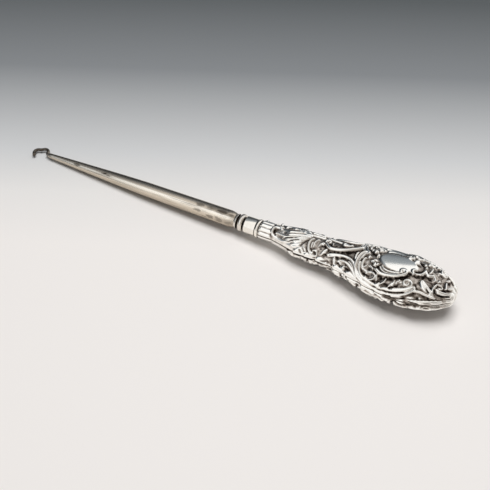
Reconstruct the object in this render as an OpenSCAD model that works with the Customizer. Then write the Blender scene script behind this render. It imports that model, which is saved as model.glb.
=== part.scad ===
// Button hook: a steel hook and shank set in a filled handle of stamped sheet silver.
// The tool lies along X, with the hook at -X and the butt of the handle at +X.
// In this file x = 0 is the middle of the bead ring and z = 0 is the tool's own axis.
// The module rest() then lays the tool on the plane z = 0, with its middle over the origin.

/* [Hook] */
// Diameter of the hook's bend, at the middle of its wire
hook_d = 6.2; // [5:0.1:9]
// Thickness of the hook's wire
wire_d = 1.3; // [1:0.1:1.5]
// How far round the hook goes, in degrees, from the shank to its tip
hook_sweep = 232; // [190:1:250]
// Diameter of the rounded tip
tip_d = 1.65; // [1.6:0.05:2.4]
// Diameter of the rounded corner where the wire leaves the shank
corner_d = 2.2; // [2:0.1:3]

/* [Shank] */
// Length of steel that shows, from the ferrule to the bend of the hook
shank_len = 95.7; // [80:0.1:140]
// Diameter of the shank where it is straight
shank_d = 6.3; // [5.5:0.1:7]
// Length of the shank's straight stretch
straight_len = 38; // [10:1:50]
// Length over which the shank narrows just before the collar
nose_len = 3; // [1:0.5:6]
// Diameter of the shank where it meets the collar
nose_d = 5.4; // [4.9:0.1:5.4]
// Fullness of the long taper: 1 is a straight cone, more is a fuller curve
taper_power = 1.3; // [1:0.1:2.5]

/* [Collar] */
// Diameter of the lip that the shank ends in
lip_d = 6.1; // [5.5:0.1:6.4]
// Width of that lip
lip_w = 1; // [0.5:0.1:2]
// Diameter of the two turned grooves
groove_d = 4.6; // [3.5:0.1:4.7]
// Width of each groove
groove_w = 0.8; // [0.5:0.1:2]
// Diameter of the turned ring between the grooves
ring_d = 7.1; // [5:0.1:8]
// Width of that ring
ring_w = 2; // [0.6:0.1:3]

/* [Tang] */
// Length of the tang inside the handle, from the end of the ferrule's plug
tang_len = 54; // [20:1:60]
// Thickness of the square tang at its root
tang_w = 2.4; // [1.6:0.1:2.6]
// Thickness of the tang at its end
tang_end_w = 1.4; // [0.8:0.1:1.6]
// Room round the tang that the hot cement ran into
tang_clear = 0.05; // [0.02:0.01:0.2]

/* [Ferrule] */
// Outside diameter of the ferrule, and of the handle's neck behind it
ferrule_d = 6.9; // [6:0.1:8]
// Length of the ferrule
ferrule_len = 4.7; // [3:0.1:10]
// Depth of the steel plug in the ferrule's mouth
plug_len = 1; // [0.5:0.1:2]
// Room round that plug, and between the neck and what is slid over it
solder_gap = 0.03; // [0.01:0.01:0.1]
// Width of the bead ring behind the ferrule
bead_w = 1.5; // [0.8:0.1:3]
// How far the bead ring stands out from the ferrule
bead_proud = 0.35; // [0.1:0.05:1]

/* [Handle] */
// Length of the handle, from the middle of the bead ring to the butt
handle_len = 77; // [68:0.5:100]
// Distance of the waist from the bead ring
waist_at = 19; // [15:0.5:24]
// Length of the waist
waist_len = 5; // [2:0.5:10]
// Width of the handle at the waist
waist_w = 11.4; // [9:0.1:16]
// Thickness of the handle at the waist
waist_t = 9.2; // [8:0.1:14]
// Distance of the widest place from the bead ring
bulb_at = 57; // [45:0.5:62]
// Width of the handle at its widest
bulb_w = 21.8; // [17:0.1:30]
// Thickness of the handle there
bulb_t = 13.2; // [11:0.1:20]
// Thickness of the silver sheet
sheet = 0.5; // [0.3:0.05:0.6]
// Percent of the way from the crest to the seam that each shell's bevel takes
seam_share = 2; // [1:0.5:4]
// Depth of the solder run in the seam
seam_depth = 0.3; // [0.15:0.05:0.3]

/* [Relief] */
// Height of the scrolls above the sheet
scroll_h = 0.8; // [0.3:0.05:1.2]
// Width of a scroll at its foot
scroll_w = 2.4; // [1.6:0.1:3]
// Height of the leaves above the sheet
leaf_h = 0.6; // [0.2:0.05:1]
// Width of a leaf at its foot
leaf_w = 2.8; // [1.6:0.1:4]
// Height of the small beads above the sheet
drop_h = 0.9; // [0.3:0.05:1.2]
// Width of a small bead at its foot
drop_w = 2.6; // [1.6:0.1:4]
// Length of the reeded neck
reed_len = 5.5; // [3:0.5:9]
// Number of reeds round each half of the neck
reed_count = 6; // [5:1:10]
// Height of a reed above the sheet
reed_h = 0.35; // [0.1:0.05:0.5]

/* [Hidden] */

silver = "#d9d6cf";
old_steel = "#9a8f86";
solder_grey = "#b9b5ad";
cement_brown = "#4a3a2c";
$fn = 48;

// Places along the axis
mouth_x = -(bead_w / 2 + ferrule_len);
plug_x = mouth_x + plug_len;
neck_x = bead_w / 2;
step_x = neck_x + sheet;
lip_x = mouth_x - 2 * groove_w - ring_w;
nose_x = lip_x - lip_w;
straight_x = nose_x - nose_len;
taper_x = straight_x - straight_len;
bend_x = mouth_x - shank_len;
hook_end_x = bend_x - hook_d - wire_d / 2;
// Angle round the hook at which its wire is clear of the corner
wire_clear = wire_d / 4;
bend_start = asin((corner_d / 2 + wire_clear) / (hook_d / 2));

// Radii at the neck
bore_r = ferrule_d / 2 - sheet;
spigot_r = bore_r - solder_gap;
neck_r = ferrule_d / 2;

// Where the skin ends at the seam's bevel, in percent of the way from the crest
seam_edge = 100 - seam_share;

// Steps of the long taper, and of each scroll between two of its places
taper_steps = 12;
scroll_steps = 5;
// The inside of a shell has one row and one column to every five outside
coarse = 5;
long_rows = 12 * coarse;
butt_rows = 4 * coarse;
inner_columns = 8;
columns = coarse * inner_columns;
// Size of the shank's end, as a share of the corner that it ends in
corner_share = 0.95;

// Shape of the handle, before relief
function ease(x, x0, x1) =
    let (u = min(1, max(0, (x - x0) / (x1 - x0))))
    u * u * (3 - 2 * u);
function butt_close(x) =
    let (u = max(0, (x - bulb_at) / (handle_len - bulb_at)))
    sqrt(max(0, 1 - u * u));
function half_size(x, waist, bulb) =
    let (to_waist = (waist / 2 - neck_r) * ease(x, reed_len, waist_at))
    let (to_bulb = (bulb - waist) / 2 * ease(x, waist_at + waist_len, bulb_at))
    (neck_r + to_waist + to_bulb) * butt_close(x);
function half_w(x) = half_size(x, waist_w, bulb_w);
function half_t(x) = half_size(x, waist_t, bulb_t);

// Angle from the crest at a share of the way along an ellipse's arc to the seam
function crest_angle(share, lean, passes = 4) =
    passes == 0 ? 90 * share
    : 90 * (share - lean * sin(2 * crest_angle(share, lean, passes - 1)) / PI);

// The front of the handle at a place: x, and percent of the way from the crest (0)
// to the seam (-100 on the -Y side, 100 on the +Y side), raised by h
function skin(x, c, h) =
    let (w = half_w(x))
    let (t = half_t(x))
    let (a = crest_angle(c / 100, (w - t) / (w + t)))
    let (n = [0, sin(a) / w, cos(a) / t])
    [x, w * sin(a), t * cos(a)] + h * n / norm(n);

// The same place on the sheet laid flat, in millimetres
function flat(x, c) = [x, c / 100 * PI / 4 * (half_w(x) + half_t(x))];

// A smooth curve through points
function curve_at(p0, p1, p2, p3, u) =
    p1 + 0.5 * u * (p2 - p0 + u * (2 * p0 - 5 * p1 + 4 * p2 - p3 + u * (3 * (p1 - p2) + p3 - p0)));
function curve(pts, steps) =
    let (last = len(pts) - 1)
    [for (i = [0 : last - 1], k = [0 : steps - 1])
        curve_at(pts[max(0, i - 1)], pts[i], pts[i + 1], pts[min(last, i + 2)], k / steps),
     pts[last]];

// Relief. Each scroll is a curve through places on the front: percent of the handle's length,
// and percent of the way from the crest to the seam. Pairs stand on both sides of the crest.
paired_scrolls = [
    [[14, 12], [12.4, 8], [10.6, 12], [10, 26], [10.3, 44], [11.6, 60], [14, 68], [18, 66], [22, 54]],
    [[13.4, 40], [16, 45], [19, 38], [23, 28], [28, 13]],
    [[31, 10], [29.8, 25], [29.6, 42], [30.3, 58], [31.8, 71], [33.6, 73], [34.6, 64]],
    [[40, 60], [42, 52], [44.5, 47], [48, 42], [50.5, 45], [53, 56], [55.5, 70]],
    [[56.5, 8], [55, 20], [54.4, 38], [55, 56], [57, 74], [61, 85], [66, 87], [72, 85], [78, 77], [81.5, 65],
     [81, 52], [79, 45]],
    [[62, 26], [62.2, 40], [64.5, 49], [67, 52], [70, 49.5], [73.5, 43], [76.3, 33], [76, 24]],
    [[79.4, 14], [79.2, 24], [81.2, 27], [83.2, 20], [84, 6]],
    [[90.6, 32], [91, 42], [93, 48], [95, 47]],
    [[82, 66], [85, 63], [88, 67], [91, 71]],
];
crossing_scrolls = [
    [[37, -12], [38.5, -24], [41, -30], [44, -27], [48, -15], [51, -2], [53, 10], [53.6, 22]],
    [[94.5, 25], [93.6, 14], [93.2, 0], [93.6, -14], [94.5, -26]],
];
// Leaves, from the round end to the tip
paired_leaves = [
    [[84.5, 42], [89.5, 62]],
    [[60, 48], [58.4, 58]],
    [[62.2, 60], [61, 76]],
    [[66.6, 62], [66.6, 78]],
    [[72, 60], [72.6, 75]],
    [[75.2, 50], [77, 62]],
    [[22.5, 52], [25.5, 40]],
    [[22.3, 70], [26.5, 56]],
    [[38.2, 45], [36.6, 68]],
    [[43.6, 62], [44.4, 80]],
    [[47, 66], [49.5, 84]],
];
// Small round beads
paired_beads = [[60.2, 12], [78.8, 53]];
crossing_beads = [[46.5, 11], [86.5, 2]];

// One stroke of relief: where it begins and ends along the handle, its line laid flat, its height and width
function along(l) = l / 100 * handle_len;
function stroke(places, h, w) =
    let (line = [for (p = places) flat(along(p[0]), p[1])])
    let (xs = [for (p = line) p.x])
    [min(xs) - w, max(xs) + w, line, h, w];
function on_side(places, side) = [for (p = places) [p[0], side * p[1]]];
strokes = concat(
    [for (s = crossing_scrolls) stroke(curve(s, scroll_steps), scroll_h, scroll_w)],
    [for (s = paired_scrolls, side = [-1, 1])
        stroke(curve(on_side(s, side), scroll_steps), scroll_h, scroll_w)],
    [for (s = paired_leaves, side = [-1, 1]) stroke(curve(on_side(s, side), scroll_steps), leaf_h, leaf_w)],
    [for (b = crossing_beads) stroke([b], drop_h, drop_w)],
    [for (b = paired_beads, side = [-1, 1]) stroke(on_side([b], side), drop_h, drop_w)]);

// Height of the relief: the highest stroke that covers a place, rounded across its width
function bump(share) = let (k = max(0, 1 - share * share)) k * k * (3 - 2 * k);
function stroke_height(p, s) =
    s[3] * bump(min([for (q = s[2]) norm(p - q)]) / (s[4] / 2));
function reed_height(x, c) =
    let (across = (c / seam_edge + 1) / 2)
    reed_h * abs(sin(180 * reed_count * across)) * (1 - ease(x, reed_len, reed_len + 2 * reed_h));
function relief(x, c) =
    let (p = flat(x, c))
    max([reed_height(x, c), for (s = strokes) if (x > s[0] && x < s[1]) stroke_height(p, s)]);

// Rows of the front, from the neck to the last row of the butt's dome
row_xs = [
    for (i = [0 : long_rows]) neck_x + (bulb_at - neck_x) * i / long_rows,
    for (i = [1 : butt_rows]) bulb_at + (handle_len - bulb_at) * sin(90 * i / (butt_rows + 1))
];
row_last = long_rows + butt_rows;
// The inner face of a row: the sheet's thickness inside it, and as far short of the butt
function inner_x(x) = x < bulb_at ? x : bulb_at + (x - bulb_at) * (1 - sheet / (handle_len - bulb_at));

// One row outside: bevel, skin from seam to seam, bevel
function bevel_y(w) = w * (1 - seam_depth / (bulb_w / 2));
function skin_share(j) = seam_edge * (2 * j / columns - 1);
function neck_ring(x, r) = concat(
    [[x, -bevel_y(r), 0]],
    [for (j = [0 : columns]) let (a = crest_angle(skin_share(j) / 100, 0)) [x, r * sin(a), r * cos(a)]],
    [[x, bevel_y(r), 0]]);
function skin_ring(x) = concat(
    [[x, -bevel_y(half_w(x)), 0]],
    [for (j = [0 : columns]) let (c = skin_share(j)) skin(x, c, relief(x, c))],
    [[x, bevel_y(half_w(x)), 0]]);
outer_size = columns + 3;
outer_points = concat(
    neck_ring(plug_x, spigot_r),
    neck_ring(neck_x, spigot_r),
    [for (x = row_xs) each skin_ring(x)]);
outer_rows = row_last + 3;
belly = max([for (p = outer_points) p.z]);

// The rows inside, as place, half width and half thickness
inner_neck_r = spigot_r - sheet;
function inner_row(x) =
    [inner_x(x), half_w(x) - sheet * butt_close(x), half_t(x) - sheet * butt_close(x)];
inner_rows = concat(
    [[plug_x, inner_neck_r, inner_neck_r], [step_x, inner_neck_r, inner_neck_r],
     [step_x, neck_r - sheet, neck_r - sheet]],
    [for (i = [coarse : coarse : row_last]) inner_row(row_xs[i])]);
inner_count = len(inner_rows);
outer_tip = [handle_len, 0, 0];
inner_tip = [handle_len - sheet, 0, 0];
function inner_ring(r, from, to) =
    [for (j = [from : to]) let (a = 180 * j / inner_columns - 90) [r[0], r[1] * sin(a), r[2] * cos(a)]];

// Faces between rows of points that run one way; an open row has no face from its last point to its first
function wall_faces(rows, size, open) =
    [for (i = [0 : rows - 2], j = [0 : size - 1 - open])
        let (a = i * size + j)
        let (b = i * size + (j + 1) % size)
        each [[a, b, b + size], [a, b + size, a + size]]];
function flip(faces) = [for (f = faces) [f[0], f[2], f[1]]];
function shift(faces, by) = [for (f = faces) [for (k = f) k + by]];
// Flat faces from a fine line of points to a coarse one
function comb(fine, few) =
    [for (i = [0 : len(few) - 2])
        each [for (k = [0 : coarse - 1]) [few[i], fine[coarse * i + k], fine[coarse * i + k + 1]],
              [few[i], fine[coarse * (i + 1)], few[i + 1]]]];

// A stamped half of the handle, closed by flat faces at its mouth and along its seam
module stamped_half() {
    inner_size = inner_columns + 1;
    inner_at = len(outer_points);
    tips = inner_at + inner_count * inner_size;
    last_o = (outer_rows - 1) * outer_size;
    last_i = inner_at + (inner_count - 1) * inner_size;
    lining = [for (r = inner_rows) each inner_ring(r, 0, inner_columns)];
    skin_faces = concat(
        wall_faces(outer_rows, outer_size, 1),
        [for (j = [0 : outer_size - 2]) [last_o + j, last_o + j + 1, tips]]);
    lining_faces = concat(
        shift(wall_faces(inner_count, inner_size, 1), inner_at),
        [for (j = [0 : inner_size - 2]) [last_i + j, last_i + j + 1, tips + 1]]);
    near_o = [for (i = [0 : outer_rows - 1]) i * outer_size];
    near_i = [for (i = [0 : inner_count - 1]) inner_at + i * inner_size];
    far_o = [for (k = near_o) k + outer_size - 1];
    far_i = [for (k = near_i) k + inner_size - 1];
    mouth_o = [for (j = [1 : outer_size - 2]) j];
    mouth_i = [for (j = [0 : inner_size - 1]) inner_at + j];
    mouth_ends = [[0, 1, inner_at], [outer_size - 2, outer_size - 1, inner_at + inner_size - 1]];
    mouth_faces = concat(comb(mouth_o, mouth_i), mouth_ends);
    polyhedron(concat(outer_points, lining, [outer_tip, inner_tip]), concat(
        skin_faces,
        flip(lining_faces),
        flip(mouth_faces),
        seam_faces(near_o, near_i, tips),
        flip(seam_faces(far_o, far_i, tips))));
}
// The flat face along one side of the seam, from its bevel to the lining
function seam_faces(fine, few, tips) =
    let (skip = 2)
    let (from_neck = [for (i = [skip : len(fine) - 1]) fine[i]])
    let (few_neck = [for (i = [skip : len(few) - 1]) few[i]])
    let (o = fine[len(fine) - 1])
    let (n = few[len(few) - 1])
    concat(
        [for (i = [0 : skip - 1])
            each [[few[i], fine[i], fine[i + 1]], [few[i], fine[i + 1], few[i + 1]]]],
        comb(from_neck, few_neck),
        [[n, o, tips], [n, tips, tips + 1]]);

// The inside of the handle
module handle_fill() {
    size = 2 * inner_columns;
    points = concat([for (r = inner_rows) each inner_ring(r, 0, size - 1)], [inner_tip]);
    base = (inner_count - 1) * size;
    tip = inner_count * size;
    polyhedron(points, concat(
        wall_faces(inner_count, size, 0),
        [for (j = [2 : size - 1]) [0, j, j - 1]],
        [for (j = [0 : size - 1]) [base + j, base + (j + 1) % size, tip]]));
}

// Lays the tool on z = 0, with its middle over the origin
module rest() {
    translate([-(handle_len + hook_end_x) / 2, 0, belly]) children();
}
module along_axis() {
    rotate([0, 90, 0]) children();
}
// A square bar along X that narrows from one end to the other
module square_taper(x0, x1, w0, w1) {
    outline = [[x0, -w0 / 2], [x1, -w1 / 2], [x1, w1 / 2], [x0, w0 / 2]];
    intersection() {
        translate([0, 0, -w0]) linear_extrude(2 * w0) polygon(outline);
        rotate([90, 0, 0]) translate([0, 0, -w0]) linear_extrude(2 * w0) polygon(outline);
    }
}
function taper_r(u) =
    let (end_d = corner_d * corner_share)
    end_d / 2 + (shank_d - end_d) / 2 * (1 - pow(1 - u, taper_power));
module shank_turning() {
    taper = [for (i = [0 : taper_steps])
        [taper_r(i / taper_steps), bend_x + (taper_x - bend_x) * i / taper_steps]];
    ring_x = lip_x + groove_w;
    groove_r = groove_d / 2;
    ring_round = [for (a = [0 : 30 : 180])
        [groove_r + (ring_d - groove_d) / 2 * sin(a), ring_x + ring_w * (1 - cos(a)) / 2]];
    plug_r = bore_r - solder_gap;
    along_axis() rotate_extrude() polygon(concat(
        [[0, bend_x]],
        taper,
        [[shank_d / 2, straight_x], [nose_d / 2, nose_x]],
        [[lip_d / 2, nose_x + lip_w / 2], [lip_d / 2, lip_x], [groove_r, lip_x]],
        ring_round,
        [[groove_r, mouth_x], [plug_r, mouth_x], [plug_r, plug_x], [0, plug_x]]));
}

// A run of the hook's wire, from one angle round the hook to another
module hook_wire(from, to) {
    translate([bend_x - hook_d / 2, 0, 0]) rotate([0, 0, from])
        rotate_extrude(angle = to - from) translate([hook_d / 2, 0]) circle(d = wire_d);
}

// The steel: hook, shank, turned collar and tang are one forging. The hook's bend has its own node, which
// goes on from the flat end of the shank's wire, so that the throat stays open in collision.
module hook_shank() {
    color(old_steel) rest() union() {
        shank_turning();
        hook_wire(0, bend_start);
        translate([bend_x, 0, 0]) sphere(d = corner_d);
        square_taper(plug_x - plug_len / 2, plug_x + tang_len, tang_w, tang_end_w);
    }
}
module hook_bend() {
    color(old_steel) rest() union() {
        hook_wire(bend_start, hook_sweep);
        translate([bend_x - hook_d / 2, 0, 0]) rotate([0, 0, hook_sweep]) translate([hook_d / 2, 0, 0])
            sphere(d = tip_d);
    }
}

// The plain silver band over the front of the neck
module ferrule_band() {
    lip = sheet / 2;
    back_x = -bead_w / 2;
    color(silver) rest() along_axis() rotate_extrude() polygon([
        [bore_r, mouth_x], [neck_r - lip, mouth_x], [neck_r, mouth_x + lip],
        [neck_r, back_x], [bore_r, back_x]]);
}

// The half-round wire ring behind it
module bead_ring() {
    foot_r = neck_r - sheet / 2;
    half = [for (a = [0 : 15 : 180]) [foot_r + (bead_proud + sheet / 2) * sin(a), -neck_x * cos(a)]];
    color(silver) rest() along_axis() rotate_extrude()
        polygon(concat([[bore_r, -neck_x]], half, [[bore_r, neck_x]]));
}

// The two stamped halves of the handle
module front_shell() {
    color(silver) rest() stamped_half();
}
module back_shell() {
    color(silver) rest() mirror([0, 0, 1]) stamped_half();
}

// The run of solder in the V of one side's seam
module seam_run() {
    points = [for (x = row_xs)
        let (edge = skin(x, seam_edge, 0))
        each [edge, [x, bevel_y(half_w(x)), 0], [x, edge.y, -edge.z]]];
    rings = len(row_xs);
    end = 3 * (rings - 1);
    polyhedron(points, concat(flip(wall_faces(rings, 3, 0)), [[0, 1, 2]], [[end, end + 2, end + 1]]));
}
module seam_solder() {
    color(solder_grey) rest() {
        seam_run();
        mirror([0, 1, 0]) seam_run();
    }
}

// The pitch cement that fills the handle and holds the tang
module cement_core() {
    socket = 2 * tang_clear;
    color(cement_brown) rest() difference() {
        handle_fill();
        square_taper(plug_x - plug_len, plug_x + tang_len + tang_clear, tang_w + socket, tang_end_w + socket);
    }
}

hook_shank();
hook_bend();
ferrule_band();
bead_ring();
front_shell();
back_shell();
seam_solder();
cement_core();
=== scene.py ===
import math

import bpy
import numpy as np
from mathutils import Matrix, Vector


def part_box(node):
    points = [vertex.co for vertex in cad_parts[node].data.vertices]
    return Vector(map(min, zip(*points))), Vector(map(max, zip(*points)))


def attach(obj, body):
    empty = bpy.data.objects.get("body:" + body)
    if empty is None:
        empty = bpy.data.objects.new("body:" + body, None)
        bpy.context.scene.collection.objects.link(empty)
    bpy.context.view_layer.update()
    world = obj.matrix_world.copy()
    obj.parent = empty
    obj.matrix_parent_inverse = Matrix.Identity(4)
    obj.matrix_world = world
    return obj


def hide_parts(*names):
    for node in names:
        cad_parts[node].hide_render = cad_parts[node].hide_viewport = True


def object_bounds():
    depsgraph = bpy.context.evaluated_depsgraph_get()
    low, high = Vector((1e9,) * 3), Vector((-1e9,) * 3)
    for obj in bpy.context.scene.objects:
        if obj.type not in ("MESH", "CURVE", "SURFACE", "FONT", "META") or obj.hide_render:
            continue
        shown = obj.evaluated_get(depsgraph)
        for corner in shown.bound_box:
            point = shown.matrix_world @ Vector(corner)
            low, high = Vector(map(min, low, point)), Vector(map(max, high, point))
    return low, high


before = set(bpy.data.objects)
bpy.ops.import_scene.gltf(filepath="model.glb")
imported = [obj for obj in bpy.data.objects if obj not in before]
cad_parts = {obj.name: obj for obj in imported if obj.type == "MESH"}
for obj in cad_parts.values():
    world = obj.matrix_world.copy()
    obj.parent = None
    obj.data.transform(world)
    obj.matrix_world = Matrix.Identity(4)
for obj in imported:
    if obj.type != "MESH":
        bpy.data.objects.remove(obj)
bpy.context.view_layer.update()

mm = 0.001

# the middle of the bead ring is zero along the tool, and its axis runs through it
ringLow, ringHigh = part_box("bead_ring")
zeroX = (ringLow.x + ringHigh.x) / 2
axisZ = (ringLow.z + ringHigh.z) / 2
handleLength = (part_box("front_shell")[1].x - zeroX) / mm
print("frame loaded, handle", round(handleLength, 2), "mm long")


# small tools

def hexColour(code):
    parts = [int(code[i:i + 2], 16) / 255 for i in (1, 3, 5)]
    return [p / 12.92 if p <= 0.04045 else ((p + 0.055) / 1.055) ** 2.4 for p in parts] + [1.0]


def addNode(tree, kind, settings=None, links=None):
    node = tree.nodes.new(kind)
    for key, value in (settings or {}).items():
        if key == "stops":
            ramp = node.color_ramp.elements
            while len(ramp) < len(value):
                ramp.new(1.0)
            for stop, (place, code) in zip(ramp, value):
                stop.position = place
                stop.color = hexColour(code)
        elif isinstance(key, str) and hasattr(node, key):
            setattr(node, key, value)
        else:
            node.inputs[key].default_value = value
    for key, source in (links or {}).items():
        # a node stands for its first output
        socket = source.outputs[0] if isinstance(source, bpy.types.Node) else source
        tree.links.new(socket, node.inputs[key])
    return node


def newMaterial(name):
    # also gives the material's nodes, and the place on the piece that its patterns follow
    material = bpy.data.materials.new(name)
    material.use_nodes = True
    tree = material.node_tree
    tree.nodes.clear()
    return material, tree, addNode(tree, "ShaderNodeTexCoord").outputs["Object"]


def finishWith(tree, settings, links):
    # each finish ends in one Principled shader
    shader = addNode(tree, "ShaderNodeBsdfPrincipled", settings, links)
    addNode(tree, "ShaderNodeOutputMaterial", None, {"Surface": shader})


def deselectAll():
    if bpy.context.object and bpy.context.object.mode == "EDIT":
        bpy.ops.object.mode_set(mode="OBJECT")
    bpy.ops.object.select_all(action="DESELECT")


def settle(piece, name, nodes, material):
    # a finished piece takes its name, finish and place in the frame
    piece.name = name
    piece.data.name = name
    piece.data.materials.clear()
    piece.data.materials.append(material)
    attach(piece, "root")
    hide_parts(*nodes)
    print("made", name, len(piece.data.polygons), "faces")


# Camera: the photograph looks down at the tool from its handle end

cameraView = {
    "lens": 55.5,
    "place": (107.62, -191.24, 203.34),  # mm
    "tilt": 46.0,
    "turn": 27.19,
    "roll": 0.14,
}
aim = (Matrix.Rotation(math.radians(cameraView["turn"]), 3, "Z")
       @ Matrix.Rotation(math.radians(cameraView["tilt"]), 3, "X")
       @ Matrix.Rotation(math.radians(cameraView["roll"]), 3, "Z"))
bpy.ops.object.camera_add(location=[c * mm for c in cameraView["place"]], rotation=aim.to_euler())
camera = bpy.context.object
camera.data.lens = cameraView["lens"]
camera.data.sensor_width = 36
camera.data.clip_start = 0.01
bpy.context.scene.camera = camera


# Materials

# Sterling silver, stamped and then polished: the raised work is bright, the ground keeps black tarnish
def makeReliefSilver():
    material, tree, place = newMaterial("stamped_sterling_silver")
    kept = addNode(tree, "ShaderNodeAttribute", {"attribute_name": "tarnish"})
    patches = addNode(tree, "ShaderNodeTexNoise", {"Scale": 1 / (1.1 * mm), "Detail": 4.0},
                      {"Vector": place})
    uneven = addNode(tree, "ShaderNodeMath", {"operation": "MULTIPLY_ADD", 1: 2.0, 2: -0.05}, {0: patches})
    depth = addNode(tree, "ShaderNodeMath", {"operation": "MULTIPLY", "use_clamp": True},
                    {0: kept.outputs["Fac"], 1: uneven})
    colour = addNode(tree, "ShaderNodeValToRGB",
                     {"stops": [(0.08, "#FFFDF8"), (0.36, "#C2B9B0"), (0.7, "#685E56"), (1.0, "#1A1512")]},
                     {"Fac": depth})
    wear = addNode(tree, "ShaderNodeTexNoise", {"Scale": 1 / (0.45 * mm), "Detail": 3.0}, {"Vector": place})
    gloss = addNode(tree, "ShaderNodeMapRange", {"To Min": 0.06, "To Max": 0.15}, {"Value": wear})
    rough = addNode(tree, "ShaderNodeMix", {"data_type": "FLOAT", 3: 0.45}, {0: depth, 2: gloss})
    matting = addNode(tree, "ShaderNodeMapRange", {"To Min": 0.15, "To Max": 1.0}, {"Value": depth})
    dents = addNode(tree, "ShaderNodeBump", {"Distance": 0.06 * mm}, {"Height": wear, "Strength": matting})
    finishWith(tree, {"Metallic": 1.0}, {"Base Color": colour, "Roughness": rough, "Normal": dents})
    return material


# Sterling silver band and wire, burnished smooth: fine turned scratches, tarnish beside the ring
def makePlainSilver():
    material, tree, place = newMaterial("burnished_sterling_silver")
    rings = addNode(tree, "ShaderNodeMapping", {"Scale": (1 / (0.25 * mm), 1 / (4 * mm), 1 / (4 * mm))},
                    {"Vector": place})
    lines = addNode(tree, "ShaderNodeTexNoise", {"Scale": 1.0, "Detail": 3.0}, {"Vector": rings})
    cloud = addNode(tree, "ShaderNodeTexNoise", {"Scale": 1 / (1.5 * mm), "Detail": 3.0}, {"Vector": place})
    clean = addNode(tree, "ShaderNodeMix",
                    {"data_type": "RGBA", 6: hexColour("#FFFCF6"), 7: hexColour("#F0E9DC")}, {0: cloud})
    along = addNode(tree, "ShaderNodeSeparateXYZ", None, {"Vector": place})
    fromRing = addNode(tree, "ShaderNodeMath", {"operation": "SUBTRACT", 1: zeroX}, {0: along.outputs["X"]})
    apart = addNode(tree, "ShaderNodeMath", {"operation": "ABSOLUTE"}, {0: fromRing})
    joint = addNode(tree, "ShaderNodeMath",
                    {"operation": "COMPARE", 1: (ringHigh.x - ringLow.x) / 2, 2: 0.16 * mm}, {0: apart})
    colour = addNode(tree, "ShaderNodeMix", {"data_type": "RGBA", 7: hexColour("#4A423A")},
                     {0: joint, 6: clean.outputs[2]})
    rough = addNode(tree, "ShaderNodeMapRange", {"To Min": 0.05, "To Max": 0.18}, {"Value": lines})
    scratch = addNode(tree, "ShaderNodeBump", {"Strength": 0.1, "Distance": 0.01 * mm}, {"Height": lines})
    finishWith(tree, {"Metallic": 1.0},
               {"Base Color": colour.outputs[2], "Roughness": rough, "Normal": scratch})
    return material


# Carbon steel, drawn and filed along its length, then browned with age: long streaks and dark spots, and a
# painted highlight band along its near flank
steelLook = {
    # round the shank from its top to the near flank and on to its underside, in degrees: the steel's warm
    # grey with painted light, a painted highlight band on the near flank and painted shade on the top and
    # underside
    "painted_light_round": [(0, "#C4B9AB"), (20, "#CBBFB0"), (31, "#D2C6B6"), (38, "#FFF9EE"), (49, "#FFF6E8"),
             (60, "#E4D8C7"), (72, "#DED2C1"), (90, "#CABEAD"), (180, "#B4A899")],
    # how much of the blotches shows, over the same degrees: little in the painted highlight band, which is
    # kept clean
    "blotched": [(0, "#F3F3F3"), (32, "#E0E0E0"), (39, "#5A5A5A"), (50, "#6C6C6C"), (60, "#C8C8C8"),
                 (180, "#C8C8C8")],
    "streak": "#8C8072",
    "stain": "#2A231E",
    "rubbed": "#F4F0EA",
    "hookEnd": -100.5,  # mm from the ring: darker from here to the hook
    "hookFade": 4.0,
    "grooves": [-5.85, -8.65],  # mm from the ring, the middles of the two grooves
    "grooveHalf": 0.42,
    "collar": -10.0,  # mm from the ring: no blotches from here on
    # dark spots: mm along, across and up from the ring's middle, radius, strength
    "spots": [(-84.1, -0.9, 1.4, 0.8, 0.7), (-70.0, -0.9, 1.9, 0.75, 0.9), (-68.4, -1.3, 1.7, 0.65, 0.9),
              (-25.3, -1.1, 3.0, 0.8, 0.6), (-20.1, -0.8, 3.0, 0.8, 0.6), (-15.6, -1.0, 3.0, 1.1, 0.75),
              (-25.3, -2.8, 1.5, 0.5, 0.5), (-19.8, -3.1, 0.6, 0.6, 0.55), (-15.8, -3.1, 0.6, 0.8, 0.5),
              (-11.9, -3.1, 0.7, 0.9, 0.5), (-11.5, -1.3, 2.9, 0.6, 0.55)],
    "drag": 0.42,  # spots are longer along the shank than across it
}


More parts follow.
